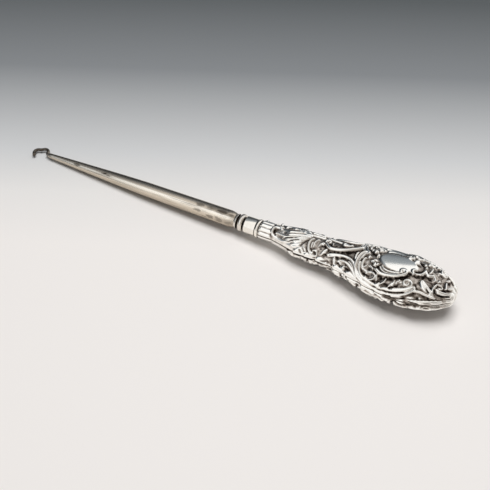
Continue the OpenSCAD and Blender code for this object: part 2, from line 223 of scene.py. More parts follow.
def makeOldSteel():
    s = steelLook
    material, tree, place = newMaterial("aged_carbon_steel")
    grain = addNode(tree, "ShaderNodeMapping", {"Scale": (1 / (16 * mm), 1 / (0.8 * mm), 1 / (0.8 * mm))},
                    {"Vector": place})
    streaks = addNode(tree, "ShaderNodeTexNoise", {"Scale": 1.0, "Detail": 4.0}, {"Vector": grain})
    drawn = addNode(tree, "ShaderNodeMapRange", {"From Min": 0.52, "From Max": 0.82}, {"Value": streaks})
    along = addNode(tree, "ShaderNodeSeparateXYZ", None, {"Vector": place})
    high = addNode(tree, "ShaderNodeMath", {"operation": "SUBTRACT", 1: axisZ}, {0: along.outputs["Z"]})
    low = addNode(tree, "ShaderNodeMath", {"operation": "MULTIPLY", 1: -1.0}, {0: along.outputs["Y"]})
    about = addNode(tree, "ShaderNodeMath", {"operation": "ARCTAN2"}, {0: low, 1: high})
    part = addNode(tree, "ShaderNodeMapRange", {"From Max": math.pi}, {"Value": about})
    # painted light round the shank: a near-white painted highlight band on the near flank, painted shade on
    # the top and underside
    painted_light_round = addNode(tree, "ShaderNodeValToRGB", {"stops": [(a / 180, code) for a, code in s["painted_light_round"]]},
                   {"Fac": part})
    clean = addNode(tree, "ShaderNodeMix", {"data_type": "RGBA", 7: hexColour(s["streak"])},
                    {0: drawn, 6: painted_light_round})
    smear = addNode(tree, "ShaderNodeMapping", {"Scale": (1 / (5 * mm), 1 / (1.3 * mm), 1 / (1.3 * mm))},
                    {"Vector": place})
    blotch = addNode(tree, "ShaderNodeTexNoise", {"Scale": 1.0, "Detail": 5.0, "Roughness": 0.65},
                     {"Vector": smear})
    fromRing = addNode(tree, "ShaderNodeMath", {"operation": "MULTIPLY_ADD", 1: 1 / mm, 2: -zeroX / mm},
                       {0: along.outputs["X"]})
    # blotches gather near the collar, and the hook is dark all over
    nearCollar = addNode(tree, "ShaderNodeMapRange",
                         {"From Min": -36.0, "From Max": -22.0, "To Min": 0.68, "To Max": 0.5},
                         {"Value": fromRing})
    blotched = addNode(tree, "ShaderNodeMath", {"operation": "SUBTRACT"}, {0: blotch, 1: nearCollar})
    dark = addNode(tree, "ShaderNodeMapRange", {"From Max": 0.06, "To Max": 0.5}, {"Value": blotched})
    # blotches are held back in the painted highlight band, so that it stays clean
    shown = addNode(tree, "ShaderNodeValToRGB", {"stops": [(a / 180, code) for a, code in s["blotched"]]},
                    {"Fac": part})
    dark = addNode(tree, "ShaderNodeMath", {"operation": "MULTIPLY"}, {0: dark, 1: shown})
    shank = addNode(tree, "ShaderNodeMath", {"operation": "LESS_THAN", 1: s["collar"]}, {0: fromRing})
    dark = addNode(tree, "ShaderNodeMath", {"operation": "MULTIPLY"}, {0: dark, 1: shank})
    atHook = addNode(tree, "ShaderNodeMapRange",
                     {"interpolation_type": "SMOOTHSTEP", "From Min": s["hookEnd"] + s["hookFade"],
                      "From Max": s["hookEnd"] - s["hookFade"], "To Max": 0.8},
                     {"Value": fromRing})
    stains = [atHook]
    for middle in s["grooves"]:
        stains.append(addNode(tree, "ShaderNodeMath",
                              {"operation": "COMPARE", 1: middle, 2: s["grooveHalf"]}, {0: fromRing}))
    dragged = addNode(tree, "ShaderNodeVectorMath", {"operation": "MULTIPLY", 1: (s["drag"], 1, 1)},
                      {0: place})
    ragged = addNode(tree, "ShaderNodeMath", {"operation": "MULTIPLY_ADD", 1: 3.2 * mm, 2: -1.6 * mm},
                     {0: blotch})
    for x, y, z, radius, strength in s["spots"]:
        gap = addNode(tree, "ShaderNodeVectorMath",
                      {"operation": "DISTANCE", 1: ((zeroX + x * mm) * s["drag"], y * mm, axisZ + z * mm)},
                      {0: dragged})
        gap = addNode(tree, "ShaderNodeMath", {"operation": "ADD"}, {0: gap.outputs["Value"], 1: ragged})
        stains.append(addNode(tree, "ShaderNodeMapRange",
                              {"interpolation_type": "SMOOTHSTEP", "From Min": 1.3 * radius * mm,
                               "From Max": 0.5 * radius * mm, "To Max": strength}, {"Value": gap}))
    for stain in stains:
        dark = addNode(tree, "ShaderNodeMath", {"operation": "MAXIMUM"}, {0: dark, 1: stain})
    # the collar is handled more, and cleaner
    handled = addNode(tree, "ShaderNodeMapRange", {"To Min": 0.6, "To Max": 0.0}, {"Value": shank})
    clean = addNode(tree, "ShaderNodeMix", {"data_type": "RGBA", 7: hexColour(s["rubbed"])},
                    {0: handled, 6: clean.outputs[2]})
    colour = addNode(tree, "ShaderNodeMix", {"data_type": "RGBA", 7: hexColour(s["stain"])},
                     {0: dark, 6: clean.outputs[2]})
    satin = addNode(tree, "ShaderNodeMapRange", {"To Min": 0.16, "To Max": 0.32}, {"Value": streaks})
    rough = addNode(tree, "ShaderNodeMix", {"data_type": "FLOAT", 3: 0.5}, {0: dark, 2: satin})
    filed = addNode(tree, "ShaderNodeBump", {"Strength": 0.3, "Distance": 0.03 * mm}, {"Height": streaks})
    finishWith(tree, {"Metallic": 1.0},
               {"Base Color": colour.outputs[2], "Roughness": rough, "Normal": filed})
    return material


# Hard silver solder: a dull grey line with tarnish caught in it
def makeSolder():
    material, tree, place = newMaterial("hard_silver_solder")
    grime = addNode(tree, "ShaderNodeTexNoise", {"Scale": 1 / (2.5 * mm), "Detail": 4.0}, {"Vector": place})
    colour = addNode(tree, "ShaderNodeMix",
                     {"data_type": "RGBA", 6: hexColour("#8A8176"), 7: hexColour("#2E2722")}, {0: grime})
    rough = addNode(tree, "ShaderNodeMapRange", {"To Min": 0.3, "To Max": 0.55}, {"Value": grime})
    finishWith(tree, {"Metallic": 1.0}, {"Base Color": colour.outputs[2], "Roughness": rough})
    return material


# Pitch cement, poured hot: brown-black, glossy where it set against the metal
def makeCement():
    material, tree, place = newMaterial("pitch_cement")
    grit = addNode(tree, "ShaderNodeTexNoise", {"Scale": 1 / (0.8 * mm), "Detail": 5.0}, {"Vector": place})
    colour = addNode(tree, "ShaderNodeMix",
                     {"data_type": "RGBA", 6: hexColour("#2A1F17"), 7: hexColour("#57432F")}, {0: grit})
    rough = addNode(tree, "ShaderNodeMapRange", {"To Min": 0.25, "To Max": 0.6}, {"Value": grit})
    finishWith(tree, None, {"Base Color": colour.outputs[2], "Roughness": rough})
    return material


reliefSilver = makeReliefSilver()
plainSilver = makePlainSilver()
oldSteel = makeOldSteel()
print("materials made")


# Turned pieces: a ring of edges is drawn out along the axis, from place to place

def turnedPiece(outline, sides, closeEnds):
    # outline is (mm along from the ring, radius in mm)
    deselectAll()
    startX, startR = outline[0]
    bpy.ops.mesh.primitive_circle_add(
        vertices=sides, radius=startR * mm, fill_type="NOTHING",
        location=(zeroX + startX * mm, 0, axisZ), rotation=(0, math.pi / 2, 0))
    piece = bpy.context.object
    bpy.ops.object.transform_apply(location=True, rotation=True, scale=True)
    bpy.ops.object.mode_set(mode="EDIT")
    bpy.ops.mesh.select_all(action="SELECT")
    if closeEnds:
        bpy.ops.mesh.edge_face_add()
        bpy.ops.mesh.select_all(action="SELECT")
    for (x0, r0), (x1, r1) in zip(outline, outline[1:]):
        bpy.ops.mesh.extrude_region_move(
            TRANSFORM_OT_translate={"value": ((x1 - x0) * mm, 0, 0)})
        if r1 != r0:
            bpy.ops.transform.resize(
                value=(1, r1 / r0, r1 / r0), center_override=(zeroX + x1 * mm, 0, axisZ))
    return piece


def tidyMesh(piece, angle):
    # doubles merged, faces outward, smooth but for real edges
    bpy.ops.object.mode_set(mode="EDIT")
    bpy.ops.mesh.select_all(action="SELECT")
    bpy.ops.mesh.remove_doubles(threshold=0.002 * mm)
    bpy.ops.mesh.normals_make_consistent(inside=False)
    bpy.ops.object.mode_set(mode="OBJECT")
    bpy.ops.object.select_all(action="DESELECT")
    piece.select_set(True)
    bpy.context.view_layer.objects.active = piece
    bpy.ops.object.shade_smooth_by_angle(angle=math.radians(angle))


# The steel: tang, plug, turned collar, long taper and hook, drawn out from the tang's end
steelShape = {
    "sides": 48,
    "tangEnd": 49.55, "tangEndW": 1.4, "tangW": 2.4, "plug": -4.45, "mouth": -5.45,
    "plugR": 2.92, "grooveR": 2.3, "grooveW": 0.8, "ringR": 3.55, "ringW": 2.0, "lipR": 3.05, "lipW": 1.0,
    "noseR": 2.75, "collarR": 3.34, "shankR": 2.98, "noseLength": 3.0, "straight": 38.0,
    "bend": -101.15, "pointR": 1.05, "wireR": 0.66, "fullness": 1.14, "taperSteps": 28,
    "lipRound": 0.12, "noseRound": 0.15, "shoulder": [(0.35, 0.93), (0.1, 0.76)], "shoulderAt": 0.7,
    "hookR": 3.1, "cornerR": 1.0, "sweep": 232.0, "hookSteps": 36, "tipR": 0.76,
    "open": -0.02, "dent": 0.36, "dentAt": 122.0, "dentWide": 35.0, "dentFade": 1.2,  # the bend is uneven
}


def makeSteel():
    s = steelShape
    lip = s["mouth"] - 2 * s["grooveW"] - s["ringW"]
    nose = lip - s["lipW"]
    straight = nose - s["noseLength"]
    taper = straight - s["straight"]
    # the hook leaves the shank by a tight corner, which ends where it meets the bend
    lean = math.asin(s["cornerR"] / (s["hookR"] + s["cornerR"]))
    hookMid = s["bend"] - s["hookR"]
    cornerX = hookMid + (s["hookR"] + s["cornerR"]) * math.cos(lean)
    outline = [(s["tangEnd"], s["tangEndW"] / 2), (s["plug"], s["tangW"] / 2), (s["plug"], s["plugR"]),
               (s["mouth"], s["plugR"]), (s["mouth"], s["grooveR"]),
               (s["mouth"] - s["grooveW"], s["grooveR"])]
    ringMid = s["mouth"] - s["grooveW"] - s["ringW"] / 2
    for k in range(1, 12):
        a = math.pi * k / 12
        rise = (s["ringR"] - s["grooveR"]) * math.sin(a) ** 0.6
        outline.append((ringMid + s["ringW"] / 2 * math.cos(a), s["grooveR"] + rise))
    outline += [(lip + s["grooveW"], s["grooveR"]), (lip, s["grooveR"]), (lip, s["lipR"] - s["lipRound"]),
                (lip - s["lipRound"], s["lipR"]), (nose + s["lipW"] / 2, s["lipR"] - 0.03),
                (nose + s["noseRound"], s["noseR"] + 0.1), (nose, s["noseR"])]
    for k in range(1, 7):
        u = k / 6
        outline.append((nose - s["noseLength"] * u,
                        s["noseR"] + (s["collarR"] - s["noseR"]) * math.sin(u * math.pi / 2)))
    for k in range(0, s["taperSteps"] + 1):
        u = k / s["taperSteps"]
        x = taper + (cornerX + s["shoulderAt"] - taper) * u
        outline.append((x, s["pointR"] + (s["shankR"] - s["pointR"]) * (1 - u ** s["fullness"])))
    outline += [(cornerX + before, r) for before, r in s["shoulder"]] + [(cornerX, s["wireR"])]
    piece = turnedPiece(outline, s["sides"], True)
    # the last ring turns the corner, then runs round the bend
    ends = [(cornerX, s["cornerR"], math.pi / 2 - lean, 8),
            (hookMid, 0, lean - math.radians(s["sweep"]), s["hookSteps"])]
    for x, y, angle, steps in ends:
        bpy.ops.mesh.spin(steps=steps, angle=angle, center=(zeroX + x * mm, y * mm, axisZ), axis=(0, 0, 1))
    # the tip swells a little and rounds off
    turn = math.radians(s["sweep"])
    tip = (zeroX + (hookMid + s["hookR"] * math.cos(turn)) * mm, s["hookR"] * math.sin(turn) * mm)
    heading = (-math.sin(turn), math.cos(turn))
    radius, gone = s["wireR"], 0.0
    for step in range(1, 8):
        a = math.pi / 2 * step / 8
        newR, newGone = s["tipR"] * math.cos(a), s["tipR"] * math.sin(a)
        move = (newGone - gone) * mm
        bpy.ops.mesh.extrude_region_move(
            TRANSFORM_OT_translate={"value": (heading[0] * move, heading[1] * move, 0)})
        centre = (tip[0] + heading[0] * newGone * mm, tip[1] + heading[1] * newGone * mm, axisZ)
        bpy.ops.transform.resize(value=(newR / radius,) * 3, center_override=centre)
        radius, gone = newR, newGone
    bpy.ops.object.mode_set(mode="OBJECT")
    hookX = zeroX + hookMid * mm
    # the tang is square: its round rings are pushed out to the sides of a square
    for v in piece.data.vertices:
        x = (v.co.x - zeroX) / mm
        y, z = v.co.y, v.co.z - axisZ
        if x > s["plug"] + 0.01 or (abs(x - s["plug"]) < 0.01 and math.hypot(y, z) < s["tangW"] * 0.55 * mm):
            grow = math.hypot(y, z) / max(abs(y), abs(z), 1e-9)
            v.co.y, v.co.z = y * grow, axisZ + z * grow
        elif x < cornerX - 0.01:
            # each ring of the bent wire moves out or in with its middle
            a = math.atan2(y, v.co.x - hookX)
            off = (math.degrees(a) - s["dentAt"]) / s["dentWide"]
            move = s["hookR"] * mm * (s["open"] - s["dent"] * math.exp(-off * off))
            move *= min(1.0, (cornerX - x) / s["dentFade"])
            v.co.x += math.cos(a) * move
            v.co.y += math.sin(a) * move
    tidyMesh(piece, 32)
    settle(piece, "hook_and_shank", ["hook_shank", "hook_bend"], oldSteel)


makeSteel()

# The ferrule and the bead ring: closed rings of sheet and half-round wire
ferruleShape = {"sides": 72, "bore": 2.95, "outer": 3.45, "mouth": -5.45, "back": -0.75, "lip": 0.18}
beadShape = {"sides": 72, "bore": 2.95, "foot": 3.2, "top": 3.8, "half": 0.75, "steps": 10}


def makeFerrule():
    s = ferruleShape
    outline = [(s["mouth"], s["bore"])]
    for k in range(4, -1, -1):
        a = math.pi / 2 * k / 4
        outline.append((s["mouth"] + s["lip"] * (1 - math.sin(a)), s["outer"] - s["lip"] * (1 - math.cos(a))))
    outline += [(s["back"], s["outer"]), (s["back"], s["bore"]), (s["mouth"], s["bore"])]
    piece = turnedPiece(outline, s["sides"], False)
    tidyMesh(piece, 40)
    settle(piece, "ferrule", ["ferrule_band"], plainSilver)


def makeBeadRing():
    s = beadShape
    outline = [(-s["half"], s["bore"])]
    for k in range(0, s["steps"] + 1):
        a = math.pi * k / s["steps"]
        outline.append((-s["half"] * math.cos(a), s["foot"] + (s["top"] - s["foot"]) * math.sin(a)))
    outline += [(s["half"], s["bore"]), (-s["half"], s["bore"])]
    piece = turnedPiece(outline, s["sides"], False)
    tidyMesh(piece, 50)
    settle(piece, "neck_ring", ["bead_ring"], plainSilver)


makeFerrule()
makeBeadRing()


# The handle: two stamped halves. A grid is laid on the plain shape and the scrollwork is raised from it.

handleShape = {
    "neckR": 3.45, "neckX": 0.75, "reedEnd": 5.5,
    "waistAt": 19.0, "waistLength": 5.0, "waistW": 11.4, "waistT": 9.2,
    "bulbAt": 57.0, "bulbW": 21.8, "bulbT": 13.2,
    "sheet": 0.5, "seamEdge": 98.0,
    "rows": 380, "columns": 124, "rowGap": 0.24,
}


def ease(x, x0, x1):
    u = np.clip((x - x0) / (x1 - x0), 0, 1)
    return u * u * (3 - 2 * u)


def halfSize(x, waist, bulb):
    h = handleShape
    past = np.clip((x - h["bulbAt"]) / (handleLength - h["bulbAt"]), 0, 1)
    size = h["neckR"] + (waist / 2 - h["neckR"]) * ease(x, h["reedEnd"], h["waistAt"])
    size = size + (bulb - waist) / 2 * ease(x, h["waistAt"] + h["waistLength"], h["bulbAt"])
    return size * np.sqrt(np.clip(1 - past * past, 0, 1))


def skinPoint(x, near):
    # x in mm from the ring; near is percent of the way from the crest to the near seam
    h = handleShape
    w = halfSize(x, h["waistW"], h["bulbW"])
    t = halfSize(x, h["waistT"], h["bulbT"])
    lean = (w - t) / np.maximum(w + t, 1e-6)
    a = math.pi / 2 * near / 100
    for _ in range(4):
        a = math.pi / 2 * (near / 100 - lean * np.sin(2 * a) / math.pi)
    return np.stack([x, -w * np.sin(a), t * np.cos(a)], -1)


# Scrollwork of the front. Each stroke is width in mm, height in mm, then its places:
# percent along the work, percent of the way from the work's middle to the near seam.
# All but the strokes of the crest and the edge stand on both sides of the middle.
work = {
    "from": -1.5, "long": 78.4, "turned": 7.0, "turnedMore": 0.035, "grow": 1.2, "wide": 1.2,
    "cutDeep": 0.2, "cellDeep": 0.12, "cellLines": 0.55, "fadeAt": 96.6,
}


def workPlace(l, n):
    # the work sits turned a little past the crest, and no further at the seams
    turned = work["turned"] + work["turnedMore"] * l
    return work["from"] + work["long"] * l / 100, n - turned * (1 - np.abs(n) / handleShape["seamEdge"])


neckWork = {
    "ridges": [
        (1.0, 0.6, [(14.2, 10), (12.8, 3.5), (11, 5), (10, 20), (10, 44), (11, 61), (13.2, 70), (16.5, 71),
                    (19.5, 64)]),
        (0.75, 0.5, [(12.8, 57), (12.2, 49), (12.8, 41), (15, 43), (17.5, 44), (20, 37), (23, 29), (26, 20),
                     (29, 10.5)]),
        (0.7, 0.45, [(18.6, 28), (20.5, 22), (23, 16.5), (26, 9.5), (29.5, 2.5)]),
        (0.7, 0.45, [(16.3, 57), (19, 52), (22, 42), (25, 33), (28.5, 22)]),
        (0.7, 0.45, [(17.8, 67), (20.5, 57.5), (23, 48.5), (25.5, 41)]),
        (0.45, 0.4, [(27, 74), (28.2, 66), (29.4, 74), (28.2, 83), (27, 74)]),
    ],
    "leaves": [
        (1.5, 0.6, [(22.6, 52), (26.3, 40)]),
        (1.8, 0.7, [(22.3, 70), (26.5, 54)]),
        (1.2, 0.5, [(25, 80), (28, 60)]),
    ],
    "beads": [(0.9, 0.55, (28.2, 74))],
    "pits": [(1.3, 0.25, [(11.9, 17), (11.4, 32), (12, 48)])],
    "cells": [(1.6, (16.3, 22), 60)],
    "gaps": [
        (0.45, [(19, 66), (21.5, 50), (24.5, 38)]), (0.7, [(26, 62), (27.2, 40), (28.6, 24)]),
        (0.4, [(26, 74), (27.5, 90)]), (0.4, [(27.3, 63), (28.7, 79)]),
        (0.45, [(16.7, 58), (20.3, 39), (24.3, 24)]),
        (0.8, [(11, 25), (11, 43), (12.4, 56)]), (0.5, [(19, 18), (21.5, 12), (24.5, 6)]),
    ],
}
waistWork = {
    "ridges": [
        (0.6, 0.45, [(31, 82), (33, 85), (34.7, 77), (35, 66)]),
        (0.9, 0.7, [(40.4, 53), (43, 47.5), (46, 43), (48.5, 41.5), (51, 44.5), (53, 53), (55, 66), (57, 76),
                    (60, 86)]),
        (0.6, 0.5, [(40.2, 61), (42, 56), (44, 50), (46, 47)]),
        (0.7, 0.55, [(46.3, 58), (48.5, 58), (50.5, 61), (52.5, 68.5), (54.5, 78), (56.5, 87)]),
        (0.5, 0.4, [(50, 52), (52, 58), (54, 70), (56, 80)]),
        (0.8, 0.5, [(53, 10), (52.6, 22), (52.8, 35), (53.5, 47)]),
    ],
    "leaves": [
        (1.3, 0.6, [(38.7, 42), (37.6, 55), (36.6, 70)]),
        (1.2, 0.6, [(43.6, 60), (44.2, 75), (44.4, 90)]),
        (0.9, 0.45, [(45.8, 65), (47.6, 72)]),
        (1.2, 0.5, [(50, 75), (46.5, 86)]),
    ],
    "beads": [(1.8, 0.8, (32.4, 77)), (1.0, 0.5, (40, 59))],
    "pits": [
        (0.8, 0.25, [(35.7, 45)]), (0.9, 0.25, [(38.8, 62)]), (0.8, 0.3, [(46.8, 54)]),
        (1.0, 0.3, [(44.7, 59)]), (1.5, 0.2, [(42.3, 76), (42.6, 84)]), (1.0, 0.2, [(51.5, 79)]),
    ],
    "gaps": [
        (1.4, [(33.9, 70)]), (1.3, [(37.9, 72), (38.5, 62), (39.7, 65)]), (0.6, [(37.5, 91), (40.4, 83)]),
        (1.2, [(40.2, 81), (41.9, 85), (43.2, 90)]), (1.1, [(44.5, 55), (44.8, 62)]),
        (1.1, [(45.8, 71), (47.2, 79)]), (0.9, [(48.4, 64), (49.7, 69)]), (1.0, [(49.7, 75), (51.6, 79)]),
        (0.8, [(34.8, 41), (36.1, 28)]),
    ],
}
bowlWork = {
    "ribbons": [
        (1.9, 0.85, [(57, 2), (55.6, 8), (54.9, 20), (54.7, 36), (55, 52), (55.8, 66), (57.3, 77), (59.5, 83),
                     (63, 86), (67, 87), (71, 86), (75, 82.5), (78.5, 76), (81, 68), (82.2, 60)]),
    ],
    "ridges": [
        (0.8, 0.6, [(57.2, 22), (56.8, 34), (57, 48), (57.8, 58)]),
        (0.7, 0.55, [(68.5, 80.5), (72, 78), (76, 72), (79, 66), (80.6, 59), (80.8, 52), (80, 46),
                     (78.8, 44.5), (77.6, 47.5), (77.2, 53), (78, 58), (79.3, 57.5), (79.5, 53)]),
        (0.55, 0.45, [(61.3, 58), (60.2, 65), (60.2, 73), (61.5, 77.5), (63.3, 74.5), (64.3, 68), (64.2, 61),
                      (62.8, 57), (61.3, 58)]),
        (0.55, 0.45, [(64.9, 55), (65.3, 66), (66.2, 75), (66.8, 82)]),
        (0.55, 0.45, [(69.6, 56), (69.2, 66), (68, 75), (67, 82)]),
        (0.45, 0.4, [(73.2, 62), (73.3, 55), (74.6, 51), (75.4, 54), (74.3, 58), (75, 61), (76.3, 55)]),
        (0.5, 0.45, [(58, 56), (58.4, 49), (59.5, 45.5), (60.6, 43), (61.8, 46), (62.3, 51)]),
        (0.5, 0.4, [(57.8, 57), (59.5, 60), (60.2, 64)]),
        (1.2, 0.9, [(62.2, 31), (62.4, 38), (63.5, 46), (65.5, 51.5), (67.5, 52.5), (70.5, 50.5), (73.5, 45),
                    (75.8, 38), (76.8, 31), (76.3, 25.5), (75, 24.5), (74.2, 29), (75, 33)]),
        (0.7, 0.6, [(62.2, 32), (61, 27), (61.8, 21.5), (63, 23)]),
        (0.6, 0.5, [(64.8, 35), (65.5, 41), (67.5, 45.5), (70, 45), (72.8, 40.5), (74.3, 34)]),
        (0.5, 0.6, [(65.2, 30), (66.3, 36), (68.5, 39.5), (71.5, 38.5), (73.6, 34)]),
        (1.1, 0.85, [(84, 0), (83.9, 8), (83.4, 17), (82.3, 23.5), (80.6, 26), (79.3, 23.5), (78.9, 18),
                     (79.6, 13.5), (80.5, 13)]),
    ],
    "leaves": [(1.6, 0.55, [(72.2, 74), (73.5, 60)])],
    "beads": [
        (1.1, 0.8, (63.5, 32)), (1.6, 0.5, (66.5, 77)), (1.3, 0.65, (58.6, 16)), (0.8, 0.5, (57.4, 25)),
        (0.9, 0.6, (60.5, 27)),
    ],
    "pits": [
        (1.4, 0.25, [(62.2, 64)]), (1.6, 0.25, [(60.2, 51)]), (1.4, 0.2, [(63.5, 79)]),
        (1.2, 0.2, [(70, 72), (75, 67)]), (1.2, 0.25, [(71, 55), (75.5, 46), (77.5, 38)]),
        (1.0, 0.2, [(81, 31), (83, 28)]),
    ],
    "cells": [(2.0, (67.2, 62), 20)],
    "gaps": [
        (1.2, [(68.2, 79), (70, 72)]), (1.0, [(72, 77), (73.4, 72)]),
        (1.1, [(70.5, 97), (73.5, 97), (76, 95), (78.5, 91), (82.4, 87)]),
        (1.2, [(66, 75), (67.5, 64)]), (0.7, [(55.7, 39), (55.8, 29)]), (0.8, [(56.6, 21), (57.6, 13)]),
        (1.0, [(59.3, 45), (60.8, 52)]), (0.8, [(62, 42), (63.6, 43)]), (0.9, [(74.7, 65), (76, 58)]),
        (1.0, [(69, 57), (72.8, 53), (76.6, 42)]), (0.9, [(59.5, 69), (61.5, 69)]),
        (1.0, [(80.2, 28), (84.6, 25)]),
        (0.5, [(64.8, 87.5), (68.8, 88), (72.4, 86), (75.8, 81), (79, 75)]),
    ],
}
buttWork = {
    "ridges": [
        (1.0, 0.75, [(90, 58), (89.8, 46), (90.2, 36), (91.2, 30), (92.4, 29.5), (93, 34), (92.6, 38.5),
                     (91.9, 36.5)]),
        (0.8, 0.6, [(91, 44), (92.5, 48), (94.5, 49.5), (96.5, 47), (97.6, 41)]),
        (0.8, 0.6, [(91.5, 54), (94, 57.5), (96.5, 55.5), (98, 49)]),
        (0.5, 0.5, [(86.8, 43), (88.5, 51), (89.5, 58)]),
        (0.8, 0.6, [(82.2, 67), (84, 64.5), (86, 65), (88, 68), (90.5, 70.5), (92, 72.5)]),
        (0.7, 0.5, [(85, 79), (87, 82), (90, 81), (93, 79)]),
        (1.2, 0.5, [(81.5, 89), (86, 87), (91, 86), (95, 84)]),
    ],
    "leaves": [(2.3, 0.75, [(84.6, 39), (86, 47), (88.5, 57), (91, 66)])],
    "beads": [(4.0, 0.45, (98.4, 66))],
    "pits": [
        (2.0, 0.3, [(87.3, 21)]), (2.0, 0.25, [(83.5, 75)]), (1.3, 0.25, [(87.2, 74), (89, 75)]),
        (1.4, 0.25, [(92.5, 76)]), (1.0, 0.2, [(93.8, 25)]), (1.0, 0.2, [(97, 25)]),
    ],
    "gaps": [
        (1.2, [(81.5, 79), (83.4, 74)]), (0.8, [(84.8, 75), (85.5, 84)]), (0.8, [(79.8, 96), (82.4, 96)]),
        (0.5, [(88, 90), (91, 89)]), (0.8, [(82.2, 49), (83.7, 59)]), (0.7, [(87.3, 53), (88.8, 61)]),
        (1.0, [(86.4, 31), (88.6, 31)]), (0.8, [(91, 33), (93, 34)]), (0.6, [(86.5, 82), (90, 79)]),
        (0.9, [(94.5, 40), (97, 26)]), (0.55, [(76.6, 94), (82.4, 87), (88.5, 81), (94.3, 75), (98, 68)]),
        (1.0, [(80, 93), (83.6, 95), (86.5, 97)]), (0.5, [(87.5, 97), (91, 95), (95, 93), (98.4, 89)]),
        (0.8, [(90.1, 49), (92.3, 59), (94.9, 61), (97.4, 56)]),
    ],
}
# Strokes that stand once, across the crest or on one side of it
crestWork = {
    "ridges": [
        (0.9, 0.65, [(30.6, 10), (29.8, 24), (29.6, 40), (30.1, 55), (31, 68), (32.5, 76), (34, 71),
                     (34.4, 64), (33.6, 59), (32.5, 62)]),
        (0.7, 0.5, [(33.3, 6), (32.3, 20), (32, 33), (32.4, 45)]),
        (0.5, 0.35, [(31, 26), (31, 40), (31.4, 52)]),
        (1.0, 0.5, [(22.5, -12), (25, -22), (28, -29), (31, -35), (34.5, -33), (39.5, -26), (45, -16)]),
        (0.8, 0.45, [(25, 10), (28, -4), (31.5, -13), (35, -16), (38.5, -11)]),
        (0.6, 0.45, [(18.3, 10), (21.6, 4), (24.8, -5)]),
        (0.8, 0.5, [(13.5, -44), (16, -25)]),
        (0.9, 0.6, [(30.1, -55), (31, -68), (32.5, -76), (34, -71), (34.4, -64), (33.6, -59), (32.5, -62)]),
        (1.3, 0.95, [(37.3, 12), (38.3, 23), (40.3, 30), (43, 28), (46, 22), (48.5, 14), (50.5, 6), (52, 0),
                     (53.2, -8), (53.8, -18), (53.2, -25)]),
        (0.6, 0.4, [(39.8, 2), (40.6, 12), (42.5, 17), (45, 14), (47.5, 8)]),
        (0.5, 0.4, [(38.5, -5), (38.3, 10)]),
        (0.7, 0.6, [(61.8, -4), (62, 4), (61.7, 8)]),
        (1.0, 0.7, [(83.9, -12), (84, 0), (84.8, 9), (86, 13.5), (87.3, 10), (88, 2)]),
        (0.6, 0.5, [(86.2, -40), (86.6, -20), (86.2, 0), (86, 6)]),
        (0.6, 0.45, [(88, 2), (89, 12), (89.4, 20)]),
        (0.8, 0.65, [(95, -25), (94.3, -12), (94, 0), (94.2, 13), (94.7, 26), (95.2, 36)]),
        (0.7, 0.3, [(97.3, 5), (96.5, 15), (95.7, 24)]),
        (0.6, 0.4, [(89.4, -24), (91.5, -23), (93.3, -22)]),
    ],
    "leaves": [(1.6, 0.6, [(36, 20), (34.5, 37)]), (1.6, 0.8, [(45, -10), (48.5, -8)])],
    "beads": [
        (1.4, 0.6, (36.7, -2)), (1.0, 0.6, (48.6, -14)), (1.9, 0.95, (60.3, -10)), (0.9, 0.5, (89.2, -10)),
        (1.0, 0.55, (91.2, 14)), (1.6, 1.0, (12.6, -51)), (1.1, 0.75, (5.0, -50)),
        (1.5, 0.8, (75.2, -36)), (1.6, 0.85, (77.4, -50)), (2.2, 0.95, (78.8, -19)),
    ],
    "pits": [(0.9, 0.3, [(40.5, 5)]), (1.2, 0.3, [(95.2, -8)]), (1.0, 0.25, [(91.6, 6)])],
    "cells": [(2.2, (91, -10), 0)],
    "gaps": [
        (0.6, [(15.4, -11), (18.4, -12), (21.3, -18), (24, -28)]), (1.2, [(93.7, 0), (95.8, 0)]),
        (0.45, [(28.5, -15), (31, -24), (35.3, -25), (39.7, -14), (42.8, -9)]), (0.8, [(35.9, -15)]),
        (0.9, [(41, 13), (43.8, 12)]), (1.0, [(88, -17), (90, -5), (91.7, -1)]),
        (0.9, [(82.7, -7), (85, -2)]), (0.9, [(80, -28), (82.3, -17), (84.3, -15)]),
        (0.9, [(84.9, -53), (87.6, -45)]),
    ],
}
# Leaf ends that hang over the seam, on the near side of the back half
edgeWork = {
    "ridges": [
        (1.6, 1.0, [(59.5, 79), (62.5, 77), (66, 76), (69, 77), (71.3, 82)]),
        (1.6, 0.8, [(75.8, 88), (78.8, 87), (83.2, 90), (88, 91)]),
    ],
    "leaves": [
        (1.3, 0.7, [(22.6, 76), (21.6, 86), (19.8, 97)]),
        (1.5, 0.8, [(29.8, 72), (28.4, 84), (26.4, 96)]),
        (1.9, 1.05, [(47.4, 76), (46, 87), (44.4, 98)]),
        (1.8, 1.0, [(56.4, 73), (54.6, 85), (52.8, 96)]),
        (2.0, 0.95, [(73.6, 85), (71.6, 92), (69, 97)]),
    ],
    "beads": [(1.5, 0.7, (58.8, 76))],
    "gaps": [
        (1.2, [(48.2, 97), (48.8, 87), (49.9, 72)]), (1.2, [(57.2, 93), (57.5, 80), (57.7, 66)]),
        (1.2, [(66.5, 93), (69.8, 88), (72.4, 78)]), (1.3, [(74.7, 94), (74.9, 82), (75, 70)]),
        (0.9, [(51, 97), (52.6, 86), (54.4, 72)]), (0.8, [(62, 90), (65, 88)]),
        (0.9, [(23.2, 96), (23.8, 84), (24.3, 70)]), (1.0, [(30.6, 96), (31, 82), (31.3, 68)]),
        (0.8, [(35.6, 96), (36.4, 86), (37.4, 74)]),
    ],
}
# The plain polished oval in the middle of the bowl
oval = {"middle": (71.7, 6), "halfLong": 7.5, "halfAcross": 31.0, "height": 0.5, "edge": 0.16}
reeds = {"count": 6, "from": 2.8, "to": 9.4, "width": 1.4, "height": 0.45}
seamLeaves = {
    "places": [(24.5, 29), (30, 33.5), (36, 41), (45, 50), (51.5, 57.5), (60, 65.5), (67, 72.5), (75, 80.5),
               (81.5, 87)],
    "near": 91, "width": 2.6, "height": 0.8,
}
